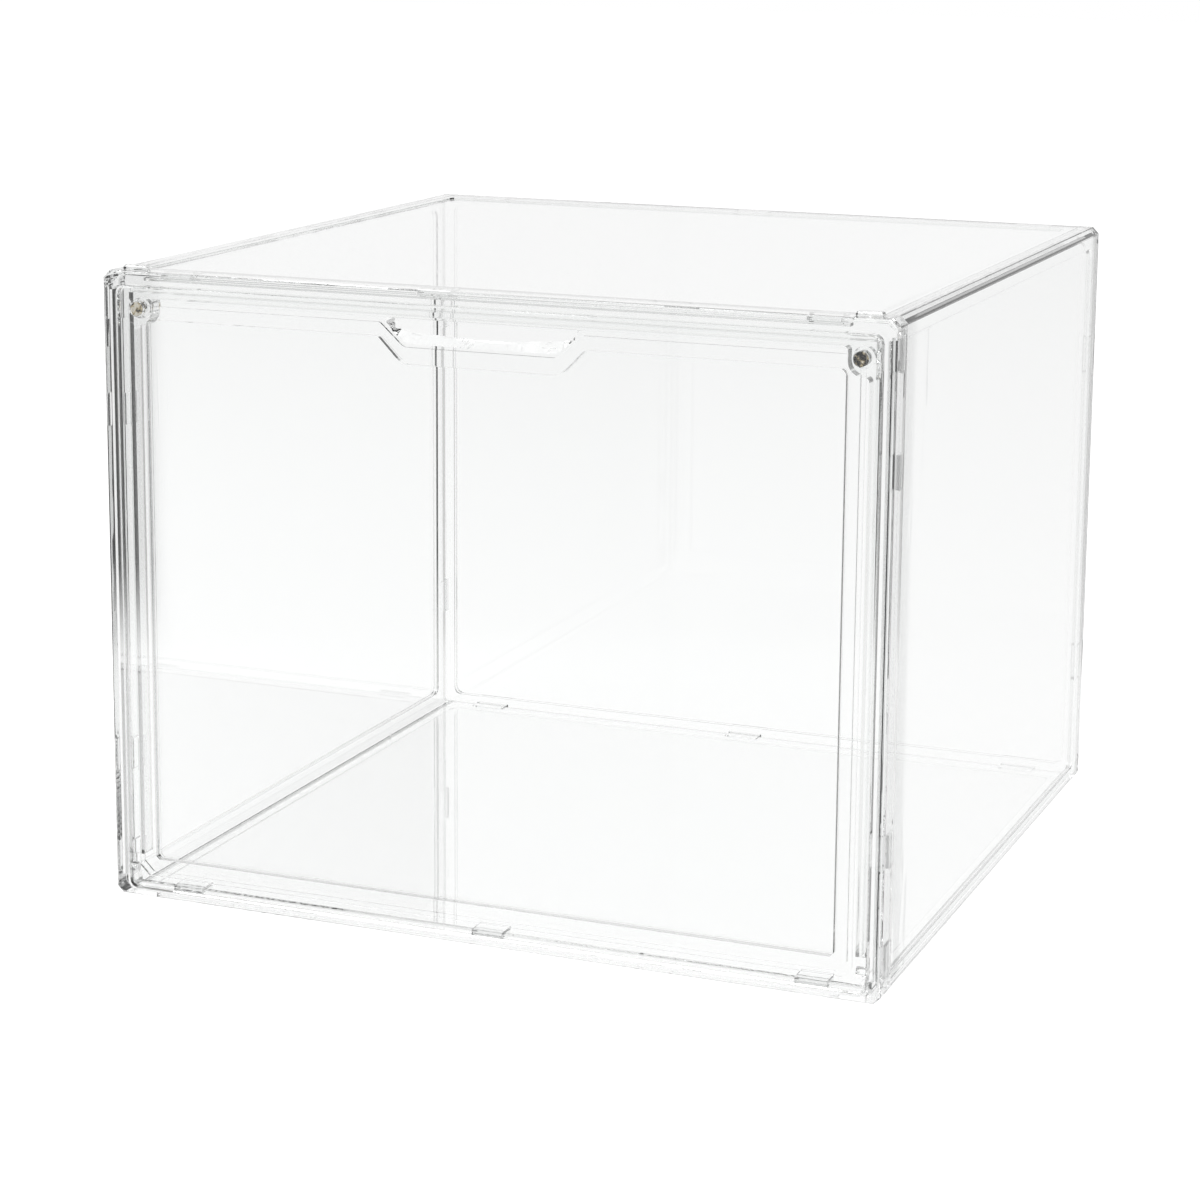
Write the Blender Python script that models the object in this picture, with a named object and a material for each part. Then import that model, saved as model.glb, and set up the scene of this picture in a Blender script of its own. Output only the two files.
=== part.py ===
"""Clear stacking display case with a drop-front door held shut by magnets.

Seven clear mouldings and four disc magnets. The front frame and the back panel close the two ends of a
tube made of the left, right, top and bottom panels. Metres, +Z up, the front faces -Y, the case stands on
Z = 0 and the origin is under its middle. A piece's depth is measured back from the front face of the frame.
"""

import math

import bmesh
import bpy
from mathutils import Vector

# Overall size of the case
WIDTH = 0.355
DEPTH = 0.345
HEIGHT = 0.280
EDGE_CHAMFER = 0.003  # on the four long edges
GAP = 0.0003  # between neighbouring mouldings
STEP = 0.0002  # between two faces of one moulding that end almost flush

# Sheet and rims
SHEET = 0.0022
OUTER_STEP = 0.0008  # how far a sheet lies behind the outside of its rim
RIM = 0.009  # width of a turned-over edge
RIM_THICK = 0.0045
REAR_RIM = 0.009
SHEET_EDGE = 0.004  # rim of the let-in top and bottom sheets
CORNER_R = 0.004

# Front frame
FRAME_DEPTH = 0.014
FRAME_WALL = 0.0024  # also the sill under the door
FRONT_ROUND = 0.0012
OPENING_INSET = 0.012  # from the outside of the case to the clear opening, on the sides and the top
LEDGE_FRONT = 0.006  # depth at which the door comes to rest
LEDGE = 0.0022
FOOT_ROOM = 0.018  # below this height nothing stands behind the foot of the door as it turns
SIDE_SLOT_END = 0.0085  # from the ends of the case to the lightening slots
TOP_SLOT_END = 0.0195

# Door
DOOR_INSET = 0.0064
DOOR_FOOT = 0.0029
DOOR_SIDE_GAP = 0.00035
DOOR_FRONT = 0.0003
DOOR_BACK = LEDGE_FRONT - GAP
DOOR_R = 0.004
DOOR_ROUND = 0.0008
GROOVE_OUTER = 0.0123
GROOVE_OUTER_FOOT = 0.0098
GROOVE_INNER = 0.0145
GROOVE_INNER_FOOT = 0.0121
GROOVE_DEPTH = 0.0010
GROOVE_CORNER = 0.0045  # the groove cuts across the two lower corners
PANE_INSET = 0.0204
PANE_FOOT = 0.0178
PANE_FRONT = 0.0036
PANE_BACK = PANE_FRONT + 0.0018

# Finger pull in the middle of the door's top rail
PULL_HALF = 0.0455  # half width where the rail starts to dip
PULL_DROP = 0.0099
PULL_LEAN = 0.0110  # how far in the two ends of the dip lean
PULL_R = 0.005
PANE_HALF = 0.0465  # the same three for the edge of the pane, which dips round the rail
PANE_DROP = 0.0112
PANE_R = 0.008
PULL_LAND = 0.0004  # flat strip between the rail's edge and the ramp
PULL_NARROWS = 0.0040  # the ramp's back edge is this much shorter at each end
PULL_RISE = 0.0040  # rise of the ramp from front to back in the middle
PULL_RISE_END = 0.0068  # and at its two ends

# Hinge
HINGE_DEPTH = 0.003
HINGE_Z = 0.0127
PIN_R = 0.0020
PIN_END_INSET = 0.0102
SOCKET_R = PIN_R + 0.00015
SOCKET_END_INSET = PIN_END_INSET + 0.0005

# Magnets
MAGNET_R = 0.003
MAGNET_THICK = 0.002
MAGNET_INSET = 0.0151
MAGNET_DROP = 0.0165
BOSS_R = 0.006
DOOR_MAGNET_DEPTH = 0.0034
FRAME_MAGNET_DEPTH = LEDGE_FRONT + 0.0009

# Snap tabs
TAB_LENGTH = 0.014
TAB_THICK = 0.0015
TAB_REACH = 0.0046  # into the frame
TAB_ROOT = 0.0050  # along the panel
HOOK = 0.0010
HOOK_LENGTH = 0.0024
REAR_TAB_WIDTH = 0.017
REAR_TAB_ROOT = 0.0060  # along the panel
REAR_TAB_REACH = 0.0030  # into the back panel
REAR_TAB_THICK = 0.0016
REAR_TAB_PROUD = 0.0005  # on the inside of the panel
SIDE_TAB_END = 0.015  # from the foot and the top of the case to the nearest tabs
SIDE_TAB_NEXT = 0.062
SHEET_TAB_END = 0.032  # from the sides of the case
TOP_TAB_MIDDLE = -0.0240  # the top's middle tab stands left of the middle

# Stacking lugs on the frame
LUG_INSET = 0.0075
LUG_LENGTH = 0.011
LUG_DEPTH = 0.007
LUG_WIDE = 0.004
LUG_HIGH = 0.002

BACK_THICK = 0.005
BACK_SIDE_RIM = 0.0095
BACK_RAIL_RIM = 0.007
BACK_STEP = 0.0014
TONGUE = 0.0020
TONGUE_THICK = 0.0010

HALF = WIDTH / 2
SIDE_TABS_Z = (SIDE_TAB_END, SIDE_TAB_NEXT, HEIGHT - SIDE_TAB_NEXT, HEIGHT - SIDE_TAB_END)
REAR_TABS_Z = (SIDE_TAB_NEXT, HEIGHT - SIDE_TAB_NEXT)
REAR_TABS_X = (SHEET_TAB_END - HALF, 0.0, HALF - SHEET_TAB_END)
TOP_TABS_X = (SHEET_TAB_END - HALF, TOP_TAB_MIDDLE, HALF - SHEET_TAB_END)
SHEET_FRONT = FRAME_DEPTH + GAP
SHEET_BACK = DEPTH - BACK_THICK - GAP
SHEET_INNER = OUTER_STEP + SHEET


def world_y(depth):
    """Depth behind the frame's front face, as a world Y."""
    return depth - DEPTH / 2


def clear_collections():
    for obj in list(bpy.data.objects):
        bpy.data.objects.remove(obj)


clear_collections()
case = bpy.data.collections.new("display_case")
cutters = bpy.data.collections.new("cutters")
for collection in (case, cutters):
    bpy.context.scene.collection.children.link(collection)


def material(name, colour, roughness, metallic=0.0, transmission=0.0, ior=1.5):
    made = bpy.data.materials.new(name)
    made.use_nodes = True
    shader = made.node_tree.nodes["Principled BSDF"]
    shader.inputs["Base Color"].default_value = (*colour, 1.0)
    shader.inputs["Roughness"].default_value = roughness
    shader.inputs["Metallic"].default_value = metallic
    shader.inputs["Transmission Weight"].default_value = transmission
    shader.inputs["IOR"].default_value = ior
    return made


def clear_plastic(name):
    return material(name, (0.94, 0.965, 0.97), 0.02, 0.0, 1.0, 1.49)


def nickel(name):
    return material(name, (0.78, 0.76, 0.70), 0.18, 1.0)


def rounded(corners, steps=4):
    """Closed outline through (u, v, radius) corners, each turned with an arc of its own radius."""
    made = []
    count = len(corners)
    for i, (u, v, radius) in enumerate(corners):
        here = Vector((u, v))
        if radius <= 0:
            made.append(here)
            continue
        before = (Vector(corners[i - 1][:2]) - here).normalized()
        after = (Vector(corners[(i + 1) % count][:2]) - here).normalized()
        half = before.angle(after) / 2
        centre = here + (before + after).normalized() * radius / math.sin(half)
        start = here + before * radius / math.tan(half) - centre
        sweep = start.angle_signed(here + after * radius / math.tan(half) - centre)
        for k in range(steps + 1):
            a = -sweep * k / steps
            made.append(centre + Vector((start.x * math.cos(a) - start.y * math.sin(a),
                                         start.x * math.sin(a) + start.y * math.cos(a))))
    return [(p.x, p.y) for p in made]


def box_outline(u0, v0, u1, v1, radius=0.0):
    return rounded([(u0, v0, radius), (u1, v0, radius), (u1, v1, radius), (u0, v1, radius)])


def inset_outline(inset, foot=None, radius=0.0):
    """The front outline of the case drawn in by an inset, with its foot at another height if one is given."""
    foot = inset if foot is None else foot
    return box_outline(inset - HALF, foot, HALF - inset, HEIGHT - inset, radius)


def chamfered_outline(inset=0.0, cut=EDGE_CHAMFER):
    """The outline of the case with its four corners cut at 45 degrees."""
    x, low, high = HALF - inset, inset, HEIGHT - inset
    return [(cut - x, low), (x - cut, low), (x, low + cut), (x, high - cut),
            (x - cut, high), (cut - x, high), (-x, high - cut), (-x, low + cut)]


TURNS = {"X": (math.pi / 2, 0, math.pi / 2), "Y": (math.pi / 2, 0, 0), "Z": (0, 0, 0)}


def plate(name, outline, axis, low, high, collection=case):
    """A flat outline given a thickness between two places on one axis, as a mesh object."""
    drawn = bpy.data.curves.new(name, "CURVE")
    drawn.dimensions = "2D"
    drawn.fill_mode = "BOTH"
    drawn.extrude = (high - low) / 2
    spline = drawn.splines.new("POLY")
    spline.points.add(len(outline) - 1)
    for point, (u, v) in zip(spline.points, outline):
        point.co = (u, v, 0, 1)
    spline.use_cyclic_u = True
    guide = bpy.data.objects.new(name + "_outline", drawn)
    bpy.context.scene.collection.objects.link(guide)
    guide.rotation_euler = TURNS[axis]
    guide.location["XYZ".index(axis)] = (low + high) / 2
    bpy.context.view_layer.update()
    graph = bpy.context.evaluated_depsgraph_get()
    mesh = bpy.data.meshes.new_from_object(guide.evaluated_get(graph))
    mesh.name = name
    shape = bmesh.new()
    shape.from_mesh(mesh)
    bmesh.ops.remove_doubles(shape, verts=shape.verts, dist=1e-6)
    for end in (-drawn.extrude, drawn.extrude):
        cap = [f for f in shape.faces if all(abs(v.co.z - end) < 1e-7 for v in f.verts)]
        bmesh.ops.dissolve_faces(shape, faces=cap)
    bmesh.ops.recalc_face_normals(shape, faces=shape.faces)
    shape.to_mesh(mesh)
    shape.free()
    made = bpy.data.objects.new(name, mesh)
    collection.objects.link(made)
    made.matrix_world = guide.matrix_world
    bpy.data.objects.remove(guide)
    return made


def block(name, low, high, collection=case):
    """A box between two opposite corners."""
    mesh = bpy.data.meshes.new(name)
    shape = bmesh.new()
    bmesh.ops.create_cube(shape, size=1.0)
    size = Vector(high) - Vector(low)
    bmesh.ops.scale(shape, vec=size, verts=shape.verts)
    shape.to_mesh(mesh)
    shape.free()
    made = bpy.data.objects.new(name, mesh)
    collection.objects.link(made)
    made.location = (Vector(low) + Vector(high)) / 2
    return made


def disc(name, radius, axis, low, high, middle, collection=case, segments=32):
    """A cylinder along one axis between two places on it; middle holds its other two coordinates."""
    mesh = bpy.data.meshes.new(name)
    shape = bmesh.new()
    bmesh.ops.create_cone(shape, cap_ends=True, segments=segments, radius1=radius, radius2=radius,
                          depth=high - low)
    shape.to_mesh(mesh)
    shape.free()
    made = bpy.data.objects.new(name, mesh)
    collection.objects.link(made)
    made.rotation_euler = TURNS[axis]
    place = list(middle)
    place.insert("XYZ".index(axis), (low + high) / 2)
    made.location = place
    mesh.shade_smooth()
    mesh.set_sharp_from_angle(angle=math.radians(40))
    return made


def combine(target, operation, tools):
    """Boolean of the target with each tool; a tool is only a helper, so it isn't rendered."""
    for tool in tools:
        step = target.modifiers.new(f"{operation.lower()} {tool.name}", "BOOLEAN")
        step.operation = operation
        step.object = tool
        for holder in list(tool.users_collection):
            holder.objects.unlink(tool)
        cutters.objects.link(tool)
        tool.hide_render = True
        tool.display_type = "WIRE"


def cut(target, *tools):
    combine(target, "DIFFERENCE", tools)


def join(target, *tools):
    combine(target, "UNION", tools)


def round_edges(obj, width, segments, wanted):
    """Rounds the edges whose two ends both pass a test on their world place."""
    shape = bmesh.new()
    shape.from_mesh(obj.data)
    place = obj.matrix_world
    edges = [e for e in shape.edges
             if e.calc_face_angle(0) > 0.9 and all(wanted(place @ v.co) for v in e.verts)]
    bmesh.ops.bevel(shape, geom=edges, offset=width, segments=segments, profile=0.5, affect="EDGES",
                    clamp_overlap=True)
    shape.to_mesh(obj.data)
    shape.free()


# The front frame: a picture frame with a recess for the door, a ledge behind it and a channel for the panels
front_y = world_y(0)
front_frame = plate("front_frame", chamfered_outline(), "Y", front_y, world_y(FRAME_DEPTH))
bpy.context.view_layer.update()
round_edges(front_frame, FRONT_ROUND, 3, lambda p: p.y < front_y + 1e-5)

recess_inset = DOOR_INSET - DOOR_SIDE_GAP
boss_reach = MAGNET_INSET + BOSS_R
boss_foot = HEIGHT - MAGNET_DROP - BOSS_R - 0.0015
side = HALF - OPENING_INSET
boss_side, head = HALF - boss_reach, HEIGHT - OPENING_INSET
opening_foot = FOOT_ROOM - 0.002
opening = rounded([(-side, opening_foot, 0), (side, opening_foot, 0), (side, boss_foot, 0.002),
                   (boss_side, boss_foot, BOSS_R), (boss_side, head, 0.002), (-boss_side, head, 0.002),
                   (-boss_side, boss_foot, BOSS_R), (-side, boss_foot, 0.002)])
outer, inner = HALF - FRAME_WALL, HALF - OPENING_INSET + LEDGE
channel_top, channel_floor = HEIGHT - FRAME_WALL, HEIGHT - OPENING_INSET + LEDGE
channel_foot = SIDE_TABS_Z[0] - TAB_LENGTH / 2 - GAP - STEP
channel = [(-outer, channel_foot), (-inner, channel_foot), (-inner, channel_floor), (inner, channel_floor),
           (inner, channel_foot), (outer, channel_foot), (outer, channel_top - EDGE_CHAMFER),
           (outer - EDGE_CHAMFER, channel_top), (EDGE_CHAMFER - outer, channel_top),
           (-outer, channel_top - EDGE_CHAMFER)]
cut(front_frame,
    plate("door_recess", inset_outline(recess_inset, FRAME_WALL, DOOR_R + DOOR_SIDE_GAP), "Y",
          front_y - 0.002, world_y(LEDGE_FRONT)),
    block("foot_room", (recess_inset + STEP - HALF, world_y(LEDGE_FRONT - 0.0005), FRAME_WALL - STEP),
          (HALF - recess_inset - STEP, world_y(FRAME_DEPTH + 0.002), FOOT_ROOM)),
    plate("clear_opening", opening, "Y", front_y - 0.002, world_y(FRAME_DEPTH + 0.002)),
    plate("panel_channel", channel, "Y", world_y(LEDGE_FRONT + LEDGE), world_y(FRAME_DEPTH + 0.002)))

# Lightening slots between the outer wall and the wall of the door recess, one to each side and one at the top
slot_near, slot_far = FRAME_WALL + STEP, recess_inset - LEDGE
slot_back = world_y(LEDGE_FRONT + LEDGE + 0.001)
for sign, hand in ((-1, "left"), (1, "right")):
    xs = sorted((sign * (HALF - slot_near), sign * (HALF - slot_far)))
    cut(front_frame, block(f"slot_{hand}", (xs[0], world_y(LEDGE), SIDE_SLOT_END),
                           (xs[1], slot_back, HEIGHT - SIDE_SLOT_END)))
cut(front_frame, block("slot_top", (TOP_SLOT_END - HALF, world_y(LEDGE), HEIGHT - slot_far),
                       (HALF - TOP_SLOT_END, slot_back, HEIGHT - slot_near)))

# Catches for the snap tabs: shallow pockets in the inside of the outer wall and of the sill
catch_floor = FRAME_WALL - HOOK
catch_span = TAB_LENGTH / 2 + GAP
catch_front = world_y(SHEET_FRONT - TAB_REACH - GAP)
catch_back = world_y(SHEET_FRONT - TAB_REACH + HOOK_LENGTH + GAP)
for sign, hand in ((-1, "left"), (1, "right")):
    xs = sorted((sign * (HALF - catch_floor), sign * (HALF - FRAME_WALL - 2 * STEP)))
    for i, z in enumerate(SIDE_TABS_Z):
        cut(front_frame, block(f"catch_{hand}_{i}", (xs[0], catch_front, z - catch_span),
                               (xs[1], catch_back, z + catch_span)))
for i, x in enumerate(TOP_TABS_X):
    cut(front_frame, block(f"catch_top_{i}", (x - catch_span, catch_front, HEIGHT - FRAME_WALL - 2 * STEP),
                           (x + catch_span, catch_back, HEIGHT - catch_floor)))
for i, x in enumerate(REAR_TABS_X):
    cut(front_frame, block(f"catch_sill_{i}", (x - catch_span, catch_front, catch_floor),
                           (x + catch_span, catch_back, FRAME_WALL + 2 * STEP)))

# Stacking lugs on top, and the sockets under the sill that take the lugs of a case below
lug_front, lug_back = world_y(LUG_DEPTH - LUG_WIDE / 2), world_y(LUG_DEPTH + LUG_WIDE / 2)
for sign, hand in ((-1, "left"), (1, "right")):
    xs = sorted((sign * (HALF - LUG_INSET), sign * (HALF - LUG_INSET - LUG_LENGTH)))
    lug = block(f"lug_{hand}", (xs[0], lug_front, HEIGHT - 0.001), (xs[1], lug_back, HEIGHT + LUG_HIGH))
    round_edges(lug, 0.0008, 2, lambda p: p.z > 0)
    join(front_frame, lug)
    cut(front_frame, block(f"lug_socket_{hand}", (xs[0] - GAP, lug_front - GAP, -0.001),
                           (xs[1] + GAP, lug_back + GAP, LUG_HIGH + GAP)))

# Hinge pins that stand in from the recess walls, and the magnet pockets in the two corner bosses
hinge_y = world_y(HINGE_DEPTH)
for sign, hand in ((-1, "left"), (1, "right")):
    xs = sorted((sign * (HALF - 0.0040), sign * (HALF - PIN_END_INSET)))
    join(front_frame, disc(f"pin_{hand}", PIN_R, "X", xs[0], xs[1], (hinge_y, HINGE_Z), segments=24))
    centre = (sign * (HALF - MAGNET_INSET), HEIGHT - MAGNET_DROP)
    cut(front_frame,
        disc(f"frame_pocket_{hand}", MAGNET_R + GAP, "Y", world_y(FRAME_MAGNET_DEPTH - GAP),
             world_y(FRAME_DEPTH + 0.002), centre),
        disc(f"frame_bore_{hand}", BOSS_R - 0.0014, "Y",
             world_y(FRAME_MAGNET_DEPTH + MAGNET_THICK + GAP), world_y(FRAME_DEPTH + 0.002), centre))

# The door: a flat rail with a shallow groove all round, and a thinner pane that is sunk in it on both sides
rail_top = HEIGHT - GROOVE_OUTER
dip_foot = HEIGHT - GROOVE_INNER - PULL_DROP


def dipped(inset, foot, corner, half, drop, radius):
    """The door's outline drawn in by an inset, its two lower corners cut; its top edge dips at the middle."""
    x, top = HALF - inset, HEIGHT - inset
    return rounded([(corner - x, foot, 0), (x - corner, foot, 0), (x, foot + corner, 0), (x, top, 0.003),
                    (half, top, 0.002), (half - PULL_LEAN, top - drop, radius),
                    (PULL_LEAN - half, top - drop, radius), (-half, top, 0.002), (-x, top, 0.003),
                    (-x, foot + corner, 0)])


door_low, door_high = world_y(DOOR_FRONT), world_y(DOOR_BACK)
door = plate("door", inset_outline(DOOR_INSET, DOOR_FOOT, DOOR_R), "Y", door_low, door_high)
bpy.context.view_layer.update()
round_edges(door, DOOR_ROUND, 3, lambda p: True)

pane_edge = dipped(PANE_INSET, PANE_FOOT, 0.0015, PANE_HALF, PANE_DROP, PANE_R)
groove_x = HALF - GROOVE_OUTER
turn_x, turn_z = groove_x - GROOVE_CORNER, GROOVE_OUTER_FOOT + GROOVE_CORNER
groove_edge = rounded([(-turn_x, GROOVE_OUTER_FOOT, 0), (turn_x, GROOVE_OUTER_FOOT, 0), (groove_x, turn_z, 0),
                       (groove_x, rail_top, 0.003), (-groove_x, rail_top, 0.003), (-groove_x, turn_z, 0)])
groove = plate("groove", groove_edge, "Y", door_low - 0.002, door_low + GROOVE_DEPTH, cutters)
groove_inner = dipped(GROOVE_INNER, GROOVE_INNER_FOOT, GROOVE_CORNER, PULL_HALF, PULL_DROP, PULL_R)
cut(groove, plate("groove_core", groove_inner, "Y", door_low - 0.003, door_low + GROOVE_DEPTH + 0.001))
cut(door,
    plate("pane_front", pane_edge, "Y", door_low - 0.002, world_y(PANE_FRONT)),
    plate("pane_back", pane_edge, "Y", world_y(PANE_BACK), door_high + 0.002),
    groove)


def along_path(points, shares):
    """Points at the given shares of a path's length."""
    points = [Vector(p) for p in points]
    lengths = [0.0]
    for p, q in zip(points, points[1:]):
        lengths.append(lengths[-1] + (q - p).length)
    made = []
    for share in shares:
        i = max(k for k in range(len(points) - 1) if lengths[k] <= share * lengths[-1])
        t = (share * lengths[-1] - lengths[i]) / (lengths[i + 1] - lengths[i])
        made.append(points[i].lerp(points[i + 1], min(t, 1.0)))
    return made


def pull_cutter():
    """The finger opening: a loft from its wide front contour to the shorter, raised edge at the back."""
    half, low, top = PULL_HALF - PULL_LAND, dip_foot + PULL_LAND, rail_top - STEP
    foot_half = half - PULL_LEAN
    turned = rounded([(-half, top, 0), (-foot_half, low, PULL_R), (foot_half, low, PULL_R),
                      (half, top, 0)], 8)
    back_half, middle, end = half - PULL_NARROWS, low + PULL_RISE, low + PULL_RISE_END
    arc = [(back_half * k / 12, middle + (end - middle) * (k / 12) ** 2) for k in range(-12, 13)]
    shares = [k / 36 for k in range(37)]
    front = along_path(turned, shares)
    back = along_path([(-back_half, top), *arc, (back_half, top)], shares)
    shape = bmesh.new()
    reach, thick = 0.0008, DOOR_BACK - DOOR_FRONT
    loops = []
    for t in (-reach / thick, 1 + reach / thick):
        ring = [p.lerp(q, t) for p, q in zip(front, back)]
        loops.append([shape.verts.new((p.x, world_y(DOOR_FRONT + t * thick), p.y)) for p in ring])
    count = len(shares)
    for k in range(count):
        nxt = (k + 1) % count
        shape.faces.new((loops[0][k], loops[0][nxt], loops[1][nxt], loops[1][k]))
    shape.faces.new(loops[0])
    shape.faces.new(loops[1])
    bmesh.ops.triangulate(shape, faces=shape.faces)
    bmesh.ops.recalc_face_normals(shape, faces=shape.faces)
    mesh = bpy.data.meshes.new("pull_cutter")
    shape.to_mesh(mesh)
    shape.free()
    made = bpy.data.objects.new("pull_cutter", mesh)
    cutters.objects.link(made)
    return made


cut(door, pull_cutter())
for sign, hand in ((-1, "left"), (1, "right")):
    centre = (sign * (HALF - MAGNET_INSET), HEIGHT - MAGNET_DROP)
    xs = sorted((sign * (HALF - DOOR_INSET + 0.001), sign * (HALF - SOCKET_END_INSET)))
    join(door, disc(f"boss_{hand}", BOSS_R, "Y", door_low + STEP, door_high - STEP, centre))
    cut(door,
        disc(f"door_pocket_{hand}", MAGNET_R + GAP, "Y", world_y(DOOR_MAGNET_DEPTH - GAP), door_high + 0.001,
             centre),
        disc(f"socket_{hand}", SOCKET_R, "X", xs[0], xs[1], (hinge_y, HINGE_Z), segments=24))

# Four disc magnets, a pair at each upper corner
magnets = {}
for sign, hand in ((-1, "left"), (1, "right")):
    centre = (sign * (HALF - MAGNET_INSET), HEIGHT - MAGNET_DROP)
    for holder, depth in (("door", DOOR_MAGNET_DEPTH), ("frame", FRAME_MAGNET_DEPTH)):
        name = f"{holder}_magnet_{hand}"
        magnets[name] = disc(name, MAGNET_R, "Y", world_y(depth), world_y(depth + MAGNET_THICK), centre)


# The side panels
def side_section():
    """Half of the right panel's section, from the middle of its height up: sheet, rim, turned-over edge."""
    groove_low = SHEET_INNER / 2 - TONGUE_THICK / 2 - GAP
    groove_high = SHEET_INNER / 2 + TONGUE_THICK / 2 + GAP
    groove_end = HALF - RIM + TONGUE + GAP
    return [(HALF, HEIGHT - EDGE_CHAMFER), (HALF - EDGE_CHAMFER, HEIGHT), (HALF - RIM, HEIGHT),
            (HALF - RIM, HEIGHT - groove_low), (groove_end, HEIGHT - groove_low),
            (groove_end, HEIGHT - groove_high), (HALF - RIM, HEIGHT - groove_high),
            (HALF - RIM, HEIGHT - SHEET_INNER), (HALF - RIM_THICK - 0.0012, HEIGHT - SHEET_INNER),
            (HALF - RIM_THICK, HEIGHT - SHEET_INNER - 0.0012)]


def make_side(sign, hand):
    """A side panel. Its sheet is sunk between the turned-over edges and a rim along its back end."""
    upper = [(sign * x, z) for x, z in side_section()]
    lower = [(x, HEIGHT - z) for x, z in reversed(upper)]
    panel = plate(f"{hand}_panel", upper + lower, "Y", world_y(SHEET_FRONT), world_y(SHEET_BACK))
    front, back = world_y(SHEET_FRONT - 0.002), world_y(SHEET_BACK - REAR_RIM)
    window = rounded([(front, RIM, 0), (back, RIM, CORNER_R), (back, HEIGHT - RIM, CORNER_R),
                      (front, HEIGHT - RIM, 0)])
    for name, near, far in (("outer", -0.002, OUTER_STEP), ("inner", SHEET_INNER, RIM_THICK + 0.002)):
        xs = sorted((sign * (HALF - near), sign * (HALF - far)))
        cut(panel, plate(f"{hand}_{name}_sheet", window, "X", *xs, collection=cutters))
    for i, z in enumerate(SIDE_TABS_Z):
        reach = world_y(SHEET_FRONT - TAB_REACH)
        leg = sorted((sign * (HALF - FRAME_WALL - GAP), sign * (HALF - FRAME_WALL - GAP - TAB_THICK)))
        hook = sorted((sign * (HALF - FRAME_WALL - GAP - 0.0004), sign * (HALF - FRAME_WALL + HOOK - GAP)))
        join(panel,
             block(f"{hand}_tab_{i}", (leg[0], reach, z - TAB_LENGTH / 2),
                   (leg[1], world_y(SHEET_FRONT + TAB_ROOT), z + TAB_LENGTH / 2)),
             block(f"{hand}_hook_{i}", (hook[0], reach, z - TAB_LENGTH / 2),
                   (hook[1], reach + HOOK_LENGTH, z + TAB_LENGTH / 2)))
    near, far = RIM_THICK + REAR_TAB_PROUD - REAR_TAB_THICK, RIM_THICK + REAR_TAB_PROUD
    xs = sorted((sign * (HALF - near), sign * (HALF - far)))
    for i, z in enumerate(REAR_TABS_Z):
        join(panel, block(f"{hand}_rear_tab_{i}",
                          (xs[0], world_y(SHEET_BACK - REAR_TAB_ROOT), z - REAR_TAB_WIDTH / 2),
                          (xs[1], world_y(SHEET_BACK + REAR_TAB_REACH), z + REAR_TAB_WIDTH / 2)))
    return panel


left_panel = make_side(-1, "left")
right_panel = make_side(1, "right")


# The top and bottom sheets, which slide between the side panels on a tongue at each side
def make_sheet(name, up):
    """A let-in sheet. up is True for the top; the outside of the sheet is sunk inside a narrow rim."""
    def z(inset):
        return HEIGHT - inset if up else inset

    edge = HALF - RIM - GAP
    tongue_low, tongue_high = SHEET_INNER / 2 - TONGUE_THICK / 2, SHEET_INNER / 2 + TONGUE_THICK / 2
    half_section = [(edge, 0), (edge, tongue_low), (edge + TONGUE, tongue_low), (edge + TONGUE, tongue_high),
                    (edge, tongue_high), (edge, SHEET_INNER)]
    right = [(x, z(inset)) for x, inset in half_section]
    leftward = [(-x, v) for x, v in reversed(right)]
    panel = plate(name, right + leftward, "Y", world_y(SHEET_FRONT), world_y(SHEET_BACK))
    rim = edge - SHEET_EDGE
    front, back = world_y(SHEET_FRONT - 0.002), world_y(SHEET_BACK - REAR_RIM)
    window = rounded([(-rim, front, 0), (rim, front, 0), (rim, back, CORNER_R), (-rim, back, CORNER_R)])
    cut(panel, plate(f"{name}_sheet", window, "Z", *sorted((z(-0.002), z(OUTER_STEP))), collection=cutters))
    for i, x in enumerate(TOP_TABS_X if up else REAR_TABS_X):
        reach = world_y(SHEET_FRONT - TAB_REACH)
        leg = sorted((z(FRAME_WALL + GAP), z(FRAME_WALL + GAP + TAB_THICK)))
        hook = sorted((z(FRAME_WALL + GAP + 0.0004), z(FRAME_WALL - HOOK + GAP)))
        join(panel,
             block(f"{name}_tab_{i}", (x - TAB_LENGTH / 2, reach, leg[0]),
                   (x + TAB_LENGTH / 2, world_y(SHEET_FRONT + TAB_ROOT), leg[1])),
             block(f"{name}_hook_{i}", (x - TAB_LENGTH / 2, reach, hook[0]),
                   (x + TAB_LENGTH / 2, reach + HOOK_LENGTH, hook[1])))
    for i, x in enumerate(REAR_TABS_X):
        zs = sorted((z(SHEET_INNER + REAR_TAB_PROUD - REAR_TAB_THICK), z(SHEET_INNER + REAR_TAB_PROUD)))
        join(panel, block(f"{name}_rear_tab_{i}",
                          (x - REAR_TAB_WIDTH / 2, world_y(SHEET_BACK - REAR_TAB_ROOT), zs[0]),
                          (x + REAR_TAB_WIDTH / 2, world_y(SHEET_BACK + REAR_TAB_REACH), zs[1])))
    return panel


top_panel = make_sheet("top_panel", True)
bottom_panel = make_sheet("bottom_panel", False)

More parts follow.
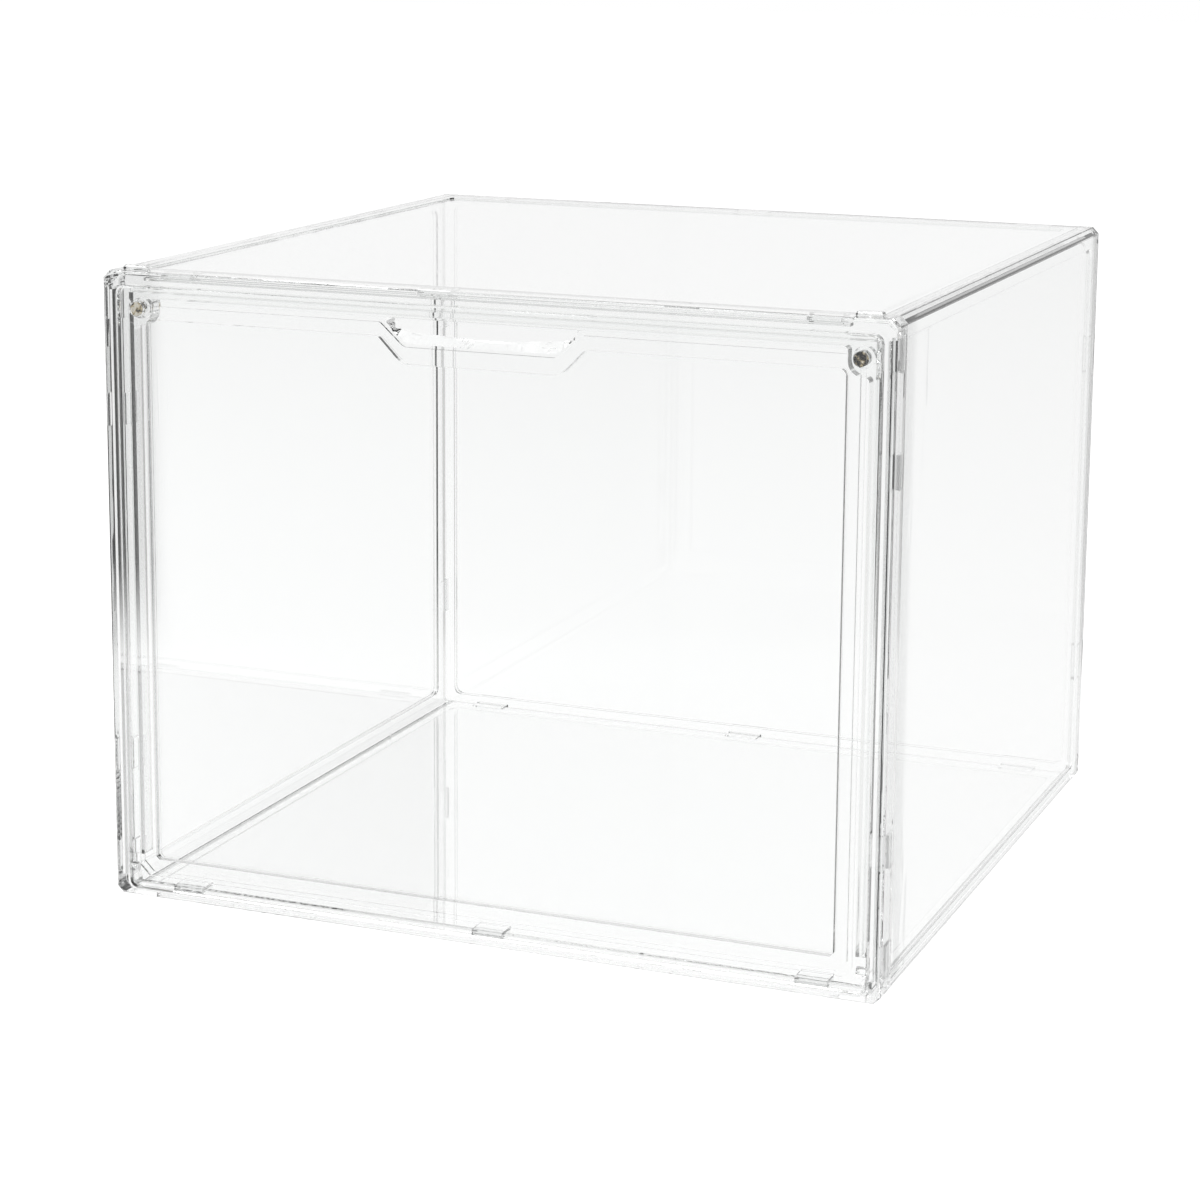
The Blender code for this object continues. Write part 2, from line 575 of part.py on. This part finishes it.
# The back panel: a plain plate with both faces sunk inside a rim, and a pocket for each rear tab
back_face, back_front = world_y(DEPTH), world_y(DEPTH - BACK_THICK)
back_panel = plate("back_panel", chamfered_outline(), "Y", back_front, back_face)
bpy.context.view_layer.update()
round_edges(back_panel, 0.0008, 2, lambda p: p.y > back_face - 1e-5)
back_window = box_outline(BACK_SIDE_RIM - HALF, BACK_RAIL_RIM, HALF - BACK_SIDE_RIM, HEIGHT - BACK_RAIL_RIM,
                          CORNER_R)
cut(back_panel,
    plate("back_inner", back_window, "Y", back_front - 0.002, back_front + BACK_STEP),
    plate("back_outer", back_window, "Y", back_face - BACK_STEP, back_face + 0.002))
pocket_end = world_y(SHEET_BACK + REAR_TAB_REACH + GAP)
pocket_half = REAR_TAB_WIDTH / 2 + GAP
low, high = SHEET_INNER + REAR_TAB_PROUD - REAR_TAB_THICK - GAP, SHEET_INNER + REAR_TAB_PROUD + GAP
for i, x in enumerate(REAR_TABS_X):
    for hand, zs in (("foot", (low, high)), ("head", (HEIGHT - high, HEIGHT - low))):
        cut(back_panel, block(f"back_{hand}_pocket_{i}", (x - pocket_half, back_front - 0.001, zs[0]),
                              (x + pocket_half, pocket_end, zs[1])))
near = HALF - RIM_THICK - REAR_TAB_PROUD - GAP
far = near + REAR_TAB_THICK + 2 * GAP
for i, z in enumerate(REAR_TABS_Z):
    for hand, xs in (("left", (-far, -near)), ("right", (near, far))):
        cut(back_panel, block(f"back_{hand}_pocket_{i}", (xs[0], back_front - 0.001, z - pocket_half),
                              (xs[1], pocket_end, z + pocket_half)))

# Materials, and the hinge that the door and its two magnets turn on
for piece in (front_frame, door, left_panel, right_panel, top_panel, bottom_panel, back_panel):
    piece.data.materials.append(clear_plastic(f"{piece.name} clear plastic"))
for name, magnet in magnets.items():
    magnet.data.materials.append(nickel(f"{name} nickel"))

door_hinge = bpy.data.objects.new("door_hinge", None)
case.objects.link(door_hinge)
door_hinge.location = (0, hinge_y, HINGE_Z)
bpy.context.view_layer.update()
for moving in (door, magnets["door_magnet_left"], magnets["door_magnet_right"]):
    moving.parent = door_hinge
    moving.matrix_parent_inverse = door_hinge.matrix_world.inverted()
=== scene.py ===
"""A clear stacking display case with a drop-front door, on a white table in soft studio light."""

import math

import bpy
from mathutils import Matrix, Vector

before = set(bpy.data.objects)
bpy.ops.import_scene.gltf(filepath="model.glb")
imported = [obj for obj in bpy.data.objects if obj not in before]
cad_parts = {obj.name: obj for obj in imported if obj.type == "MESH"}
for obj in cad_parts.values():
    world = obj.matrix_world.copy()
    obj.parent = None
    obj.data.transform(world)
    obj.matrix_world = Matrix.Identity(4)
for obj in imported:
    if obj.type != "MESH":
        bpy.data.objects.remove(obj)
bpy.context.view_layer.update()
scene = bpy.context.scene
scene.view_settings.view_transform = "Standard"


# The frame, the door and the five panels are injection moulded in water-clear plastic with polished faces.
# They snap together by tabs on their edges, and the door turns on two pins of the frame. Thick rims show a
# trace of grey-green, and handling leaves hairline scratches and a faint haze.
def group_sockets(name, inputs, outputs):
    """A new shader node group. Inputs are (name, socket type, default), outputs (name, socket type)."""
    tree = bpy.data.node_groups.new(name, "ShaderNodeTree")
    for label, kind, default in inputs:
        tree.interface.new_socket(label, in_out="INPUT", socket_type=kind).default_value = default
    for label, kind in outputs:
        tree.interface.new_socket(label, in_out="OUTPUT", socket_type=kind)
    return tree, tree.nodes.new("NodeGroupInput"), tree.nodes.new("NodeGroupOutput")


def add(tree, kind, links=None, **values):
    """A new node. Values set its properties or sockets by name, links join other nodes' outputs to it."""
    node = tree.nodes.new(kind)
    for key, value in values.items():
        if hasattr(node, key):
            setattr(node, key, value)
        else:
            node.inputs[key].default_value = value
    for key, source in (links or {}).items():
        tree.links.new(source, node.inputs[key])
    return node


def reckon(tree, operation, *terms):
    """The output of a Math node whose terms, in their order, are plain numbers or other nodes' outputs."""
    node = add(tree, "ShaderNodeMath", operation=operation)
    for place, term in enumerate(terms):
        if isinstance(term, float):
            node.inputs[place].default_value = term
        else:
            tree.links.new(term, node.inputs[place])
    return node.outputs[0]


def spread(tree, value, span, onto=(0.0, 1.0), rise="LINEAR"):
    """The output of a Map Range node: as value crosses span, it crosses onto, evenly or in a smooth step."""
    node = add(tree, "ShaderNodeMapRange", {"Value": value}, interpolation_type=rise)
    for label, number in zip(("From Min", "From Max", "To Min", "To Max"), (*span, *onto)):
        node.inputs[label].default_value = number
    return node.outputs[0]


def grey(share):
    """A colour with the same share of red, green and blue."""
    return (share, share, share, 1)


# Hairlines are noise drawn out along one direction: its periods per metre along X, Y and Z, and its lean in
# radians. Only its peaks, in the band, are lines. Haze lies in soft clouds, some 10 cm across.
HAIRLINES_PER_METRE = (420, 60, 14)
HAIRLINE_LEAN = (0.2, 0.5, 0.35)
HAIRLINE_BAND = (0.66, 0.80)
HAIRLINE_ROUGHNESS = 0.05
CLOUDS_PER_METRE = 9.0
CLOUD_BAND = (0.5, 0.8)

hairlines, given, put = group_sockets(
    "handling_marks",
    [("Scratches", "NodeSocketFloat", 0.3), ("Haze", "NodeSocketFloat", 0.02),
     ("Seed", "NodeSocketFloat", 0.0)],
    [("Roughness", "NodeSocketFloat"), ("Height", "NodeSocketFloat")])
place = add(hairlines, "ShaderNodeTexCoord")
shifted = add(hairlines, "ShaderNodeVectorMath", {0: place.outputs["Object"], 1: given.outputs["Seed"]},
              operation="ADD")
streaks = add(hairlines, "ShaderNodeMapping", {"Vector": shifted.outputs[0]},
              Scale=HAIRLINES_PER_METRE, Rotation=HAIRLINE_LEAN)
lines = add(hairlines, "ShaderNodeTexNoise", {"Vector": streaks.outputs[0]}, Scale=1.0, Detail=2.0)
cloud = add(hairlines, "ShaderNodeTexNoise", {"Vector": shifted.outputs[0]},
            Scale=CLOUDS_PER_METRE, Detail=4.0)
scored = reckon(hairlines, "MULTIPLY", spread(hairlines, lines.outputs["Fac"], HAIRLINE_BAND),
                given.outputs["Scratches"])
hazed = reckon(hairlines, "MULTIPLY", spread(hairlines, cloud.outputs["Fac"], CLOUD_BAND),
               given.outputs["Haze"])
rough = reckon(hairlines, "MULTIPLY_ADD", scored, HAIRLINE_ROUGHNESS, hazed)
hairlines.links.new(rough, put.inputs["Roughness"])
hairlines.links.new(scored, put.inputs["Height"])

RIM_TINT = (0.988, 0.992, 0.990, 1)
CLEAR_INDEX = 1.49
LAMP_LIGHT_PASSED = 0.99
MARKS = {"Scratches": 0.25, "Haze": 0.01}
MARKS_APART = 1.7
SCRATCH_STRENGTH, SCRATCH_DEPTH = 0.05, 0.0002


def clear_plastic(name, seed):
    """Polished clear plastic: a plain glass shader with handling marks. Lamp light, and light that a matt
    surface scatters, pass straight through it."""
    made = bpy.data.materials.new(name)
    made.use_nodes = True
    tree = made.node_tree
    shader = tree.nodes["Principled BSDF"]
    shader.inputs["Base Color"].default_value = RIM_TINT
    shader.inputs["IOR"].default_value = CLEAR_INDEX
    shader.inputs["Transmission Weight"].default_value = 1.0
    marks = add(tree, "ShaderNodeGroup", node_tree=hairlines)
    for label, share in MARKS.items():
        marks.inputs[label].default_value = share
    marks.inputs["Seed"].default_value = seed
    tree.links.new(marks.outputs["Roughness"], shader.inputs["Roughness"])
    bump = add(tree, "ShaderNodeBump", {"Height": marks.outputs["Height"]},
               Strength=SCRATCH_STRENGTH, Distance=SCRATCH_DEPTH)
    tree.links.new(bump.outputs[0], shader.inputs["Normal"])
    through = add(tree, "ShaderNodeBsdfTransparent", Color=grey(LAMP_LIGHT_PASSED))
    rays = add(tree, "ShaderNodeLightPath")
    lamp_light = reckon(tree, "MAXIMUM", rays.outputs["Is Shadow Ray"], rays.outputs["Is Diffuse Ray"])
    mixed = add(tree, "ShaderNodeMixShader", {0: lamp_light, 1: shader.outputs[0], 2: through.outputs[0]})
    tree.links.new(mixed.outputs[0], tree.nodes["Material Output"].inputs["Surface"])
    return made


for number, node in enumerate(("front_frame", "door", "left_panel", "right_panel", "top_panel",
                               "bottom_panel", "back_panel")):
    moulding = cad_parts[node]
    moulding.data.materials.clear()
    moulding.data.materials.append(clear_plastic(f"{node}_clear", number * MARKS_APART))

# Light caught in a long panel is turned more than fifty times before it leaves it.
scene.cycles.max_bounces = 128
scene.cycles.transmission_bounces = 128
scene.cycles.glossy_bounces = 96
scene.cycles.transparent_max_bounces = 32


# The four magnets are stock discs, 6 mm across and nickel plated. Two are pressed into pockets at the back of
# the door's upper corners, two into the frame's corner bosses behind them. The plating is mottled and worn,
# and dark reflections are painted into its colour as near-black and brown spots: more on the right than on
# the left.
MOTTLES_PER_METRE, STAIN_AND_REFLECTION_SPOTS_PER_METRE = 750.0, 420.0
PLATING_ROUGHNESS = (0.10, 0.40)
MOTTLE_STRENGTH, MOTTLE_DEPTH = 0.5, 0.0004
BARE_AND_DARK_REFLECTION, NICKEL = (0.03, 0.028, 0.025, 1), (0.86, 0.82, 0.72, 1)
BROWN, BRASSY = (0.20, 0.17, 0.12, 1), (0.62, 0.52, 0.32, 1)
BROWN_FROM, BRASSY_FROM, NICKEL_FROM = 0.07, 0.12, 0.18


def nickel_and_painted_reflection(name, stain_and_dark_reflection):
    """Bright nickel, mottled where the plating has worn, with painted dark reflections. Low in the noise it
    gives near-black, a painted dark reflection together with bare metal, and from there it runs through brown
    and brass to nickel."""
    made = bpy.data.materials.new(name)
    made.use_nodes = True
    tree = made.node_tree
    shader = tree.nodes["Principled BSDF"]
    shader.inputs["Metallic"].default_value = 1.0
    place = add(tree, "ShaderNodeTexCoord").outputs["Object"]
    mottle = add(tree, "ShaderNodeTexNoise", {"Vector": place}, Scale=MOTTLES_PER_METRE, Detail=3.0)
    stain_and_reflection_noise = add(tree, "ShaderNodeTexNoise", {"Vector": place}, Scale=STAIN_AND_REFLECTION_SPOTS_PER_METRE, Detail=2.0)
    patina_and_reflection = add(tree, "ShaderNodeValToRGB", {"Fac": stain_and_reflection_noise.outputs["Fac"]})
    tones = patina_and_reflection.color_ramp.elements
    tones[0].position, tones[0].color = stain_and_dark_reflection, BARE_AND_DARK_REFLECTION
    tones[1].position, tones[1].color = stain_and_dark_reflection + NICKEL_FROM, NICKEL
    tones.new(stain_and_dark_reflection + BROWN_FROM).color = BROWN
    tones.new(stain_and_dark_reflection + BRASSY_FROM).color = BRASSY
    tree.links.new(patina_and_reflection.outputs[0], shader.inputs["Base Color"])
    worn = spread(tree, mottle.outputs["Fac"], (0.0, 1.0), PLATING_ROUGHNESS)
    tree.links.new(worn, shader.inputs["Roughness"])
    bump = add(tree, "ShaderNodeBump", {"Height": mottle.outputs["Fac"]},
               Strength=MOTTLE_STRENGTH, Distance=MOTTLE_DEPTH)
    tree.links.new(bump.outputs[0], shader.inputs["Normal"])
    return made


# The right pair gets a larger share of painted dark reflection in its colour than the left pair.
for hand, stain_and_dark_reflection in (("left", 0.34), ("right", 0.50)):
    plated = nickel_and_painted_reflection(f"nickel_and_painted_reflection_{hand}", stain_and_dark_reflection)
    for holder in ("door", "frame"):
        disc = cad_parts[f"{holder}_magnet_{hand}"]
        disc.data.materials.clear()
        disc.data.materials.append(plated)


# The case stands on a table covered by one matt white sheet. What looks at it sees it a little brighter than
# the lamp leaves it, so that it is white up to the horizon and only the case's own faint shadow stays on it.
TABLE_REACH = 8
SHEET_WHITE, SHEET_ROUGHNESS = 0.86, 0.6
SEEN_THROUGH_CASE, SEEN_STRAIGHT = 0.12, 0.30


def rays_that_look(tree):
    """The Light Path node, and a mask that is 1 for a camera, glossy or transmission ray and 0 for the rays
    that carry the lamp's light."""
    rays = add(tree, "ShaderNodeLightPath")
    seen = reckon(tree, "MAXIMUM", rays.outputs["Is Camera Ray"], rays.outputs["Is Glossy Ray"])
    return rays, reckon(tree, "MAXIMUM", seen, rays.outputs["Is Transmission Ray"])


def turned_rays(tree, rays):
    """How often a ray was turned inside the plastic: 0 for one that passed through or never met it."""
    inside = reckon(tree, "MINIMUM", rays.outputs["Transmission Depth"], 1.0)
    return reckon(tree, "MULTIPLY", rays.outputs["Glossy Depth"], inside)


table_mesh = bpy.data.meshes.new("table_top")
corners = [(TABLE_REACH * x, TABLE_REACH * y, 0) for x, y in ((-1, -1), (1, -1), (1, 1), (-1, 1))]
table_mesh.from_pydata(corners, [], [(0, 1, 2, 3)])
table = bpy.data.objects.new("table_top", table_mesh)
scene.collection.objects.link(table)

white = bpy.data.materials.new("white_table")
white.use_nodes = True
tree = white.node_tree
shader = tree.nodes["Principled BSDF"]
shader.inputs["Base Color"].default_value = grey(SHEET_WHITE)
shader.inputs["Roughness"].default_value = SHEET_ROUGHNESS
shader.inputs["Specular IOR Level"].default_value = 0.0
rays, seen = rays_that_look(tree)
unlit, glow, backdrop = (add(tree, "ShaderNodeEmission", Strength=strength)
                         for strength in (0.0, SEEN_THROUGH_CASE, SEEN_STRAIGHT))
lifted = add(tree, "ShaderNodeMixShader", {0: seen, 1: unlit.outputs[0], 2: glow.outputs[0]})
lifted = add(tree, "ShaderNodeMixShader",
             {0: rays.outputs["Is Camera Ray"], 1: lifted.outputs[0], 2: backdrop.outputs[0]})
sheet = add(tree, "ShaderNodeAddShader", {0: shader.outputs[0], 1: lifted.outputs[0]})
# Light turned inside the plastic passes the table, so that it meets the world's painted reflections in their
# true direction.
unseen = add(tree, "ShaderNodeBsdfTransparent")
shown = add(tree, "ShaderNodeMixShader",
            {0: turned_rays(tree, rays), 1: sheet.outputs[0], 2: unseen.outputs[0]})
tree.links.new(shown.outputs[0], tree.nodes["Material Output"].inputs["Surface"])
table_mesh.materials.append(white)


# The studio is white all round, with a soft lamp at the front left. The world also holds dark parts that only
# light turned inside the plastic finds. These are painted reflections that draw the case's grey and black
# lines: a tent's openings, narrow black cards behind on the right, a card above them, and a white cloth low
# down.

# The painted tent and strips pair compass degrees, from straight behind and positive to the right, with the
# share of white there. The painted floor cloth's opening and the painted high card are each the middle and
# half the width of an arc.
# Edges are heights of the ray's direction: from where a cloth or card begins to where it is full.
PAINTED_TENT = ((-180, 0.1), (-172, 0.1), (-168, 0.65), (-147, 0.65), (-143, 0.45), (-66, 0.45), (-60, 0.9),
        (-6, 1.0), (-2, 0.3), (4, 0.3), (8, 0.92), (34, 0.92), (38, 0.45), (142, 0.45), (147, 0.2),
        (171, 0.2), (176, 0.1), (180, 0.1))
PAINTED_STRIPS = ((14, 1.0), (15.95, 1.0), (16.05, 0.0), (16.62, 0.0), (16.72, 1.0), (16.92, 1.0), (17.02, 0.0),
          (24.0, 0.0), (24.4, 1.0), (30.2, 1.0), (30.5, 0.05), (34, 0.05))
PAINTED_FLOOR_CLOTH_EDGE, PAINTED_FLOOR_CLOTH_WHITE, PAINTED_FLOOR_CLOTH_OPENING = (-0.215, -0.26), 0.92, (20, 6)
PAINTED_HIGH_CARD, PAINTED_HIGH_CARD_EDGE = (21, 14), (0.10, 0.20)
# A painted loss of light for each turn inside the plastic, and the pale tone it settles to after many turns.
LOSING_TURNS, PAINTED_LIGHT_KEPT = (1.0, 9.0), (1.0, 0.3)
SETTLING_TURNS, PAINTED_SETTLED_WHITE = (4.0, 8.0), 0.66
ROOM_WHITE = 0.9


def white_share(tree, compass, cloth):
    """A ramp over the compass from pairs of degree and share, drawn evenly from first degree to last."""
    first, last = cloth[0][0], cloth[-1][0]
    along = spread(tree, compass, (math.radians(first), math.radians(last)))
    ramp = add(tree, "ShaderNodeValToRGB", {"Fac": along})
    stops = ramp.color_ramp.elements
    stops[0].color, stops[1].color = grey(cloth[0][1]), grey(cloth[-1][1])
    for degrees, share in cloth[1:-1]:
        stops.new((degrees - first) / (last - first)).color = grey(share)
    return ramp.outputs["Color"]


def in_arc(tree, compass, arc):
    """1 where the compass lies within an arc, given as its middle and half its width in degrees, else 0."""
    return reckon(tree, "COMPARE", compass, *map(math.radians, arc))


def painted_reflection_share(tree, rays, heading):
    """The share of white that a turned ray finds, a painted reflection: the painted tent's by compass
    direction, the painted floor cloth's low down and none at the painted high card, less a painted loss for
    each turn. After many turns it settles to one pale tone. A ray that was not turned finds white."""
    turns = turned_rays(tree, rays)
    aim = add(tree, "ShaderNodeSeparateXYZ", {0: heading}).outputs
    compass = reckon(tree, "ARCTAN2", aim["X"], aim["Y"])
    painted_strips = white_share(tree, compass, PAINTED_STRIPS)
    painted_tent = reckon(tree, "MULTIPLY", white_share(tree, compass, PAINTED_TENT), painted_strips)
    low = spread(tree, aim["Z"], PAINTED_FLOOR_CLOTH_EDGE, (0.0, PAINTED_FLOOR_CLOTH_WHITE), "SMOOTHSTEP")
    closed = reckon(tree, "SUBTRACT", 1.0, in_arc(tree, compass, PAINTED_FLOOR_CLOTH_OPENING))
    painted_floor_cloth = reckon(tree, "MULTIPLY", low, closed)
    climbs = spread(tree, aim["Z"], PAINTED_HIGH_CARD_EDGE, rise="SMOOTHSTEP")
    painted_high_card = reckon(tree, "MULTIPLY", in_arc(tree, compass, PAINTED_HIGH_CARD), climbs)
    shown = reckon(tree, "MULTIPLY", reckon(tree, "MAXIMUM", painted_tent, painted_floor_cloth),
                   reckon(tree, "SUBTRACT", 1.0, painted_high_card))
    faded = reckon(tree, "MULTIPLY", shown, spread(tree, turns, LOSING_TURNS, PAINTED_LIGHT_KEPT))
    pale = reckon(tree, "MAXIMUM", reckon(tree, "MULTIPLY", painted_strips, PAINTED_SETTLED_WHITE), painted_floor_cloth)
    many = spread(tree, turns, SETTLING_TURNS, rise="SMOOTHSTEP")
    settled = add(tree, "ShaderNodeMix", {0: many, 2: faded, 3: pale})
    left = add(tree, "ShaderNodeMix", {0: reckon(tree, "MINIMUM", turns, 1.0), 3: settled.outputs[0]})
    left.inputs[2].default_value = 1.0
    return left.outputs[0]


scene.world = bpy.data.worlds.new("studio")
scene.world.use_nodes = True
tree = scene.world.node_tree
tree.nodes.clear()
rays, seen = rays_that_look(tree)
heading = add(tree, "ShaderNodeTexCoord").outputs["Generated"]
# The room lights the table at its own white. The camera sees a pure white backdrop there.
lit = add(tree, "ShaderNodeBackground", Color=grey(ROOM_WHITE))
# Rays turned inside the plastic see painted reflections: dark cards and strips that nothing else sees, dimmed
# by a painted loss for each turn.
turned = add(tree, "ShaderNodeBackground", {"Strength": painted_reflection_share(tree, rays, heading)}, Color=grey(1))
backdrop = add(tree, "ShaderNodeBackground", Color=grey(1))
looked_at = add(tree, "ShaderNodeMixShader",
                {0: rays.outputs["Is Camera Ray"], 1: turned.outputs[0], 2: backdrop.outputs[0]})
room = add(tree, "ShaderNodeMixShader", {0: seen, 1: lit.outputs[0], 2: looked_at.outputs[0]})
add(tree, "ShaderNodeOutputWorld", {"Surface": room.outputs[0]})

softbox = bpy.data.lights.new("key_softbox", "AREA")
softbox.energy = 16
softbox.size = 1.2
lamp = bpy.data.objects.new("key_softbox", softbox)
lamp.location = (-0.9, -1.2, 1.9)
middle_of_case = Vector((0, 0, 0.14))
lamp.rotation_euler = (middle_of_case - lamp.location).to_track_quat("-Z", "Y").to_euler()
scene.collection.objects.link(lamp)


# The camera stands to the right of the front, above the case, and looks a little down at it. Its angles and
# its place were fitted to the case's corners in the photograph.
YAW, PITCH, ROLL = 0.3833, 0.1910, 0.0075
STAND = (0.5075, -1.2978, 0.4514)
right = Vector((math.cos(YAW), math.sin(YAW), 0))
ahead = Vector((-math.sin(YAW) * math.cos(PITCH), math.cos(YAW) * math.cos(PITCH), -math.sin(PITCH)))
up = right.cross(ahead)
side = math.cos(ROLL) * right + math.sin(ROLL) * up
top = -math.sin(ROLL) * right + math.cos(ROLL) * up
camera = bpy.data.cameras.new("camera")
camera.lens = 91.38
camera.sensor_width = 36
camera.sensor_fit = "HORIZONTAL"
camera.shift_y = -0.12
view = bpy.data.objects.new("camera", camera)
view.matrix_world = Matrix.Translation(STAND) @ Matrix((side, top, -ahead)).transposed().to_4x4()
scene.collection.objects.link(view)
scene.camera = view
